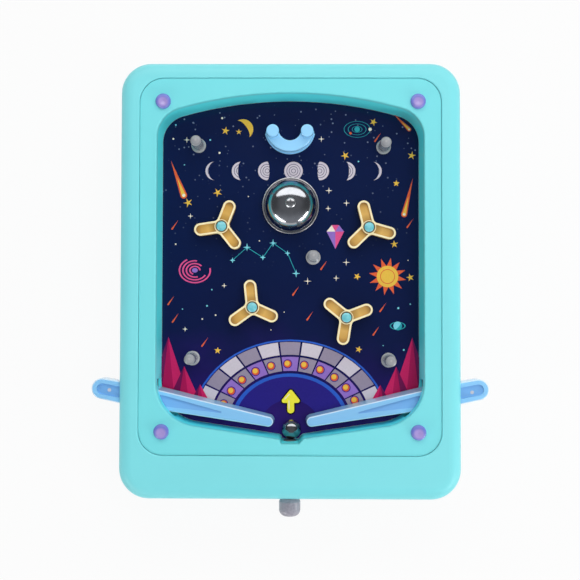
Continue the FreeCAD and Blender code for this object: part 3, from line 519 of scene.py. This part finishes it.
# Inks of the print: all the shapes of one ink make one piece, on the sheet that is glued to the case's
# board. Each is a litho ink with a fine mottle, under the sheet's varnish.
ink_tints = {
    "silver": (206, 198, 208), "pewter": (150, 140, 160), "gold": (236, 190, 74), "lemon": (250, 238, 66),
    "cream": (240, 232, 214), "coral": (226, 96, 58), "crimson": (176, 22, 84), "plum": (112, 18, 78),
    "cerise": (206, 34, 98), "rose": (222, 84, 140), "lilac": (146, 112, 196), "teal": (44, 160, 172),
    "cyan": (122, 210, 226), "azure": (44, 92, 196), "indigo": (40, 32, 128), "night": (10, 26, 74),
    "soot": (10, 4, 16)}
mottle_size, mottle_dark, mottle_pale = 0.0013, 0.9, 1.08
for name, shapes in inks.items():
    mesh = bpy.data.meshes.new("ink_" + name)
    drawing = bmesh.new()
    for points in shapes:
        face = drawing.faces.new([drawing.verts.new(field @ Vector(point)) for point in points])
        face.normal_update()
        if face.normal.dot(out_way) < 0:
            face.normal_flip()
    drawing.to_mesh(mesh)
    drawing.free()
    mottle = clouded(shade(*ink_tints[name], mottle_dark), shade(*ink_tints[name], mottle_pale), mottle_size)
    mesh.materials.append(printed("ink_" + name, mottle, gloss_size=0.01))
    motif = bpy.data.objects.new("print_" + name, mesh)
    bpy.context.scene.collection.objects.link(motif)
    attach(motif, "case")

# Bell: a dome pressed from steel sheet and nickel plated, with a rolled lip whose pale nickel is a painted
# highlight.
# It stands on a turned post and is held by one pan-head screw, so that it rings when the ball hits it.
# The lip's pale nickel is a painted highlight; the dome's clouds are its own tone.
nickel_dark, nickel_pale, lip_highlight_nickel = (152, 155, 160), (180, 182, 186), (244, 238, 238)
lip_reach, lip_blur, lip_roughness = 18.9, 0.4, 0.3


def in_field(tree, way):
    """Distance from the field's middle along one of its three ways, in millimetres."""
    place = tree.node("TexCoord", output="Object")
    place = tree.node("VectorMath", {0: place, 1: field.translation}, operation="SUBTRACT")
    return tree.node("VectorMath", {0: place, 1: way / millimetre}, operation="DOT_PRODUCT", output="Value")


def reach_at(tree, across, up):
    """Distance in the field from the place that is so far across and up it, in millimetres."""
    across, up = in_field(tree, across_way) - across, in_field(tree, up_way) - up
    return (across * across + up * up) ** 0.5


def reach_from(tree, names):
    """Distance from the axis of the nearest of some upright nodes, in millimetres."""
    nearest = None
    for name in names:
        low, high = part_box(name)
        centre = field.inverted() @ ((low + high) / 2)
        reach = reach_at(tree, centre.x, centre.y)
        nearest = reach if nearest is None else nearest.math("MINIMUM", nearest, reach)
    return nearest


def bell_lip(tree):
    """1 on the outer half of the rolled lip, 0 inside it."""
    return reach_from(tree, ["bell_post"]).above(lip_reach, lip_blur)


def bell_plate(tree):
    """Nickel with faint clouds on the dome, and a painted highlight of pale nickel on the lip."""
    dome = clouded(shade(*nickel_dark), shade(*nickel_pale), size=0.006)(tree)
    return bell_lip(tree).between(dome, shade(*lip_highlight_nickel))


def bell_polish(tree):
    """Roughness: a polished dome with a duller lip."""
    return uneven(low=0.09, high=0.16, size=0.004)(tree) + bell_lip(tree) * lip_roughness


bell_nickel = material_of("bell_nickel", bell_plate, bell_polish, Metallic=1.0,
                          Normal=skin(size=0.0028, height=0.000006))
dress(["bell_dome"], bell_nickel, angle=40)
dress(["bell_post", "bell_screw"], plated_steel, angle=40)

# Ball catcher: one light blue styrene moulding, a crescent cup with a round peg at each end. Its skin
# is polished, and its spigots are staked into the board.
lever_sky = 150, 213, 255
lever_styrene = styrene("lever_styrene", lever_sky, roughness=0.16, depth=1.03, Coat_Weight=0.8)
dress(["ball_catcher"], lever_styrene)

# Clear posts: solid water-clear styrene pegs with a round top, pushed through the sheet, with a flange
# over the hole. They are slightly smoky, and the dark and bright rings of light their round tops bend are
# painted light and shade.
post_clear, post_smoke = (250, 251, 252), (200, 203, 210)
flange_reach = 5.0
painted_post_rings = [(0.0, 1.0), (0.12, 0.9), (0.2, 0.4), (0.5, 0.4), (0.6, 0.05), (0.68, 0.0), (0.74, 0.4),
              (0.81, 0.05), (0.88, 0.6), (0.95, 1.0)]
painted_ring_share, haze_share, haze_size, flow_lines = 0.8, 0.2, 0.0016, (1, 1, 0.3)
post_names = [name for name in nodes if name.startswith("clear_post")]


def post_glass(tree):
    """Smoky to clear in rings round each post's axis, as painted light and shade, with a faint haze."""
    rings = tree.node("ValToRGB", {"Fac": reach_from(tree, post_names) / flange_reach}, output="Color",
                      stops=[(place, (light, light, light, 1.0)) for place, light in painted_post_rings])
    light = rings * painted_ring_share + patches(haze_size)(tree) * haze_share
    return light.between(shade(*post_smoke), shade(*post_clear))


clear_styrene = material_of("clear_styrene", post_glass, uneven(low=0.06, high=0.16, size=0.003),
                            Transmission_Weight=0.6, IOR=1.49,
                            Normal=skin(size=0.0018, height=0.00005, stretch=flow_lines))
dress(post_names, clear_styrene, angle=40)

# Spinners: three channelled arms round a hub, moulded in golden yellow. Their rims are painted cream as a
# painted highlight, the channels darken towards the hub and the tips as painted shade, and the hub's dish is
# painted brown as a painted shadow.
rim_highlight_cream, dish_shadow_brown = (255, 243, 196), (104, 74, 30)
channel_shade_tints = [(0.24, (176, 134, 56)), (0.5, (222, 180, 92)), (0.75, (208, 162, 74)),
                 (0.94, (150, 110, 44))]
worn_gold, worn_share, worn_size = (208, 162, 74), 0.25, 0.006
arm_reach = 18.8
rim_out, rim_fade, hub_dish, dish_fade = -15.7, 0.3, 4.1, 0.3
pin_names = [name for name in nodes if name.startswith("spinner_pin")]


def spinner_gold(tree):
    """Channel gold in painted shade along the arms, painted highlight in cream on the rims, painted shadow in
    the hub's dish.
    """
    reach = reach_from(tree, pin_names)
    channel = (reach / arm_reach).tinted(channel_shade_tints)
    rim = in_field(tree, out_way).above(rim_out, rim_fade).between(channel, shade(*rim_highlight_cream))
    worn = (patches(worn_size)(tree) * worn_share).between(rim, shade(*worn_gold))
    return reach.above(hub_dish, dish_fade).between(shade(*dish_shadow_brown), worn)


spinner_styrene = material_of("spinner_styrene", spinner_gold, uneven(low=0.22, high=0.4, size=gloss_patch),
                              Normal=skin(skin_size, skin_height))
dress([name.replace("pin_", "") for name in pin_names], spinner_styrene)

# Spinner pins: pale cyan styrene pins with round heads, on which the spinners turn freely. They are
# pushed into the board, and their colour is swirled from the mould's gate.
pin_teal, pin_pale = (62, 172, 184), (156, 230, 238)
pin_styrene = material_of("pin_styrene", clouded(shade(*pin_teal), shade(*pin_pale), size=0.003),
                          uneven(low=0.12, high=0.24, size=0.003), Coat_Weight=0.5,
                          Normal=skin(skin_size, skin_height))
dress(pin_names, pin_styrene, angle=45)

# Levers: one light blue moulding each, from the handle outside the case to the tip in the field, on a
# pivot pin. Their rounded edges carry a painted highlight, their walls are painted paler as painted light,
# the pointed recess and the finger groove are painted deeper blue as painted shade, and each handle has the
# grey mark of the mould's gate.
arm_sky, recess_shade_sky = (140, 204, 250), (116, 178, 238)
wall_light_sky, edge_highlight_sky, gate_grey = (160, 214, 250), (226, 244, 255), (206, 206, 216)
lever_top, lever_fade = -8.15, 0.08
top_lean, top_blur, edge_lean, edge_blur, flat_lean, flat_blur = 0.6, 0.3, 0.3, 0.15, 0.95, 0.03
highlight_share, drift_share = 0.85, 0.12
gate_marks, gate_reach, gate_blur = ((-121.9, -73.6), (122.6, -74.4)), 1.2, 0.3


def lever_blue(tree):
    """Blue by height and face lean: painted shade in recesses, painted light on walls, painted highlight on
    edges, gate marks.
    """
    face = tree.node("NewGeometry", output="True Normal")
    lean = tree.node("VectorMath", {0: face, 1: out_way}, operation="DOT_PRODUCT", output="Value")
    level = in_field(tree, out_way).above(lever_top, lever_fade).between(shade(*recess_shade_sky), shade(*arm_sky))
    plain = lean.above(top_lean, top_blur).between(shade(*wall_light_sky), level)
    edge = lean.above(edge_lean, edge_blur) * (1 - lean.above(flat_lean, flat_blur))
    paint = (edge * highlight_share).between(plain, shade(*edge_highlight_sky))
    for across, up in gate_marks:
        near = 1 - reach_at(tree, across, up).above(gate_reach, gate_blur)
        paint = near.between(paint, shade(*gate_grey))
    return (patches(cloud_size)(tree) * drift_share).between(paint, shade(*lever_sky))


arm_styrene = material_of("arm_styrene", lever_blue, uneven(low=0.13, high=0.22, size=gloss_patch),
                          Coat_Weight=0.6, Normal=skin(skin_size, skin_height))
dress(["left_flipper", "right_flipper"], arm_styrene)

# Steel ball: a hardened bearing ball, ground and polished bright, with the faint marks of play.
# It lies loose on the field, in front of the plunger's head.
ball_dark, ball_pale = (128, 130, 135), (160, 162, 166)
ball_steel = material_of("ball_steel", clouded(shade(*ball_dark), shade(*ball_pale), size=0.004),
                         uneven(low=0.03, high=0.09, size=0.002), Metallic=1.0,
                         Normal=skin(size=0.003, height=0.000003))
dress(["steel_ball"], ball_steel, angle=80)

# Inset top frame: the same turquoise styrene in one moulding, with the arched window and the deep
# walls that keep the ball on the field. It drops into the case, 0.8 mm below its band, and its
# walls are painted a brighter, clearer teal than the plate as painted light.
frame_turquoise, wall_light_teal = (122, 222, 228), (100, 246, 253)
plate_dark, plate_pale = 0.98, 1.025
wall_top, wall_fade = -3.4, 2.2


def walled_turquoise(tree):
    """Clouded plate above the walls' top, and a brighter teal below it that is painted light."""
    plate = clouded(shade(*frame_turquoise, plate_dark), shade(*frame_turquoise, plate_pale), cloud_size)
    return in_field(tree, out_way).above(wall_top, wall_fade).between(shade(*wall_light_teal), plate(tree))


frame_styrene = material_of("frame_styrene", walled_turquoise, uneven(low=0.24, high=0.42, size=gloss_patch),
                            Specular_IOR_Level=0.3, Normal=skin(skin_size, skin_height))
dress(["top_frame"], frame_styrene)

# Corner caps: domed styrene pegs with a dimple, pushed through the frame into the tray's posts. They
# are lilac, pinker in the dimple and bluer round it, where the blue is a painted reflection, with a polished
# skin.
cap_reflection_blue, cap_pink = (110, 118, 204), (168, 150, 214)
dimple_reach, dimple_fade = 3.3, 1.3
cap_names = [name for name in nodes if name.startswith("corner_cap")]


def cap_lilac(tree):
    """Pink within a reach of each cap's axis, and blue outside it as a painted reflection."""
    return reach_from(tree, cap_names).above(dimple_reach, dimple_fade).between(shade(*cap_pink),
                                                                               shade(*cap_reflection_blue))


cap_styrene = material_of("cap_styrene", cap_lilac, uneven(low=0.1, high=0.2, size=gloss_patch),
                          Coat_Weight=0.6, Normal=skin(skin_size, skin_height))
dress(cap_names, cap_styrene, angle=50)

# Studio: a white paper table in a white room. What looks at the table sees mostly its own white, near
# the toy with a little of the shadow, and what it throws back on the toy is that of grey paper.
table_half = 3.0
paper_grey, near_white, far_white = 0.7, 0.92, 0.08
far_edge, far_fade = 0.6, 0.35
table = bpy.data.objects.new("table_top", bpy.data.meshes.new("table_top"))
table.data.from_pydata([(-table_half, -table_half, 0), (table_half, -table_half, 0),
                        (table_half, table_half, 0), (-table_half, table_half, 0)], [], [(0, 1, 2, 3)])
bpy.context.scene.collection.objects.link(table)
white_table = bpy.data.materials.new("white_table")
white_table.use_nodes = True
tree = Map(white_table.node_tree)
seen = tree.node("LightPath", output="Is Camera Ray")
seen = seen.math("MAXIMUM", seen, tree.node("LightPath", output="Is Glossy Ray"))
seen = seen.math("MAXIMUM", seen, tree.node("LightPath", output="Is Transmission Ray"))
paper = tree.node("BsdfDiffuse", {"Color": (paper_grey, paper_grey, paper_grey, 1.0)})
glow = tree.node("Emission", {"Color": (1.0, 1.0, 1.0, 1.0), "Strength": 1.0})
across, up = [tree.node("SeparateXYZ", {"Vector": tree.node("TexCoord", output="Object")}, output=axis)
              for axis in "XY"]
far = ((across * across + up * up) ** 0.5).above(far_edge, far_fade)
mixed = tree.node("MixShader", {0: seen * (far * far_white + near_white), 1: paper, 2: glow})
surface = white_table.node_tree.nodes["Material Output"].inputs["Surface"]
white_table.node_tree.links.new(mixed.socket, surface)
table.data.materials.append(white_table)

# Room round the table: grey walls, paler on the player's side, under a grey ceiling, and white below
# them, which the metal mirrors. The camera itself sees it all as white.
front_grey, rear_grey = (0.36, 0.37, 0.4, 1.0), (0.1, 0.103, 0.11, 1.0)
ceiling_grey, room_white = (0.2, 0.205, 0.22, 1.0), (1.0, 1.0, 1.0, 1.0)
side_edge, side_fade = -0.55, 0.45
ceiling_edge, ceiling_fade, floor_edge, floor_fade = 0.72, 0.24, 0.12, 0.035
world = bpy.data.worlds.new("studio")
bpy.context.scene.world = world
world.use_nodes = True
tree = Map(world.node_tree)
way = tree.node("TexCoord", output="Generated")
rise, ahead = [tree.node("SeparateXYZ", {"Vector": way}, output=axis) for axis in "ZY"]
walls = ahead.above(side_edge, side_fade).between(front_grey, rear_grey)
room = rise.above(ceiling_edge, ceiling_fade).between(walls, ceiling_grey)
room = rise.above(floor_edge, floor_fade).between(room_white, room)
room = tree.node("LightPath", output="Is Camera Ray").between(room, room_white)
world.node_tree.links.new(room.socket, world.node_tree.nodes["Background"].inputs["Color"])

# Lamps: a wide softbox up the field and two narrow strips near the player, whose reflections show in
# the bell and the ball, and a large overhead lamp that isn't mirrored and lights all sides evenly.


def lamp(name, place, size, power, aim=(0, 0, 0), mirrored=True):
    """Soft oval lamp at a place in the field's frame, in millimetres, that faces an aim."""
    light = bpy.data.lights.new(name, "AREA")
    light.shape, light.energy = "ELLIPSE", power
    light.size, light.size_y = [side * millimetre for side in size]
    made = bpy.data.objects.new(name, light)
    made.location = field @ Vector(place)
    made.rotation_euler = (field @ Vector(aim) - made.location).to_track_quat("-Z", "Y").to_euler()
    made.visible_camera, made.visible_glossy = False, mirrored
    bpy.context.scene.collection.objects.link(made)


lamp("softbox_rear", place=(90, 890, 615), size=(2700, 650), power=9.5, aim=(90, 0, 0))
lamp("strip_left", place=(-560, -640, 236), size=(720, 115), power=1.8)
lamp("strip_right", place=(690, -540, 236), size=(740, 120), power=2.6)
lamp("overhead", place=(420, 60, 1300), size=(1300, 1300), power=9.8, mirrored=False)

# Camera: nearly straight over the field, a little nearer the player, tipped by about one and a half
# degrees. Its lens and place are worked out from pixels of the 580 pixel frame.
frame_middle, focal_pixels = 290, 900
nadir_pixel, nadir = (298.3, 314), (5.5, -22.0)
camera_height, roll, sensor = 599.0, 0.14, 36.0
camera = bpy.data.objects.new("camera", bpy.data.cameras.new("camera"))
camera.data.sensor_width = sensor
camera.data.lens = sensor * focal_pixels / (2 * frame_middle)
camera.data.clip_start, camera.data.clip_end = 0.01, 20.0
straight_down = Vector((nadir_pixel[0] - frame_middle, frame_middle - nadir_pixel[1], -focal_pixels))
turn = straight_down.rotation_difference(Vector((0, 0, -1))).to_matrix()
axes = Matrix((across_way, up_way, out_way)).transposed()
camera.matrix_world = (axes @ turn @ Matrix.Rotation(math.radians(roll), 3, "Z")).to_4x4()
camera.location = field @ Vector((*nadir, camera_height))
bpy.context.scene.collection.objects.link(camera)
bpy.context.scene.camera = camera
bpy.context.scene.view_settings.view_transform = "Standard"
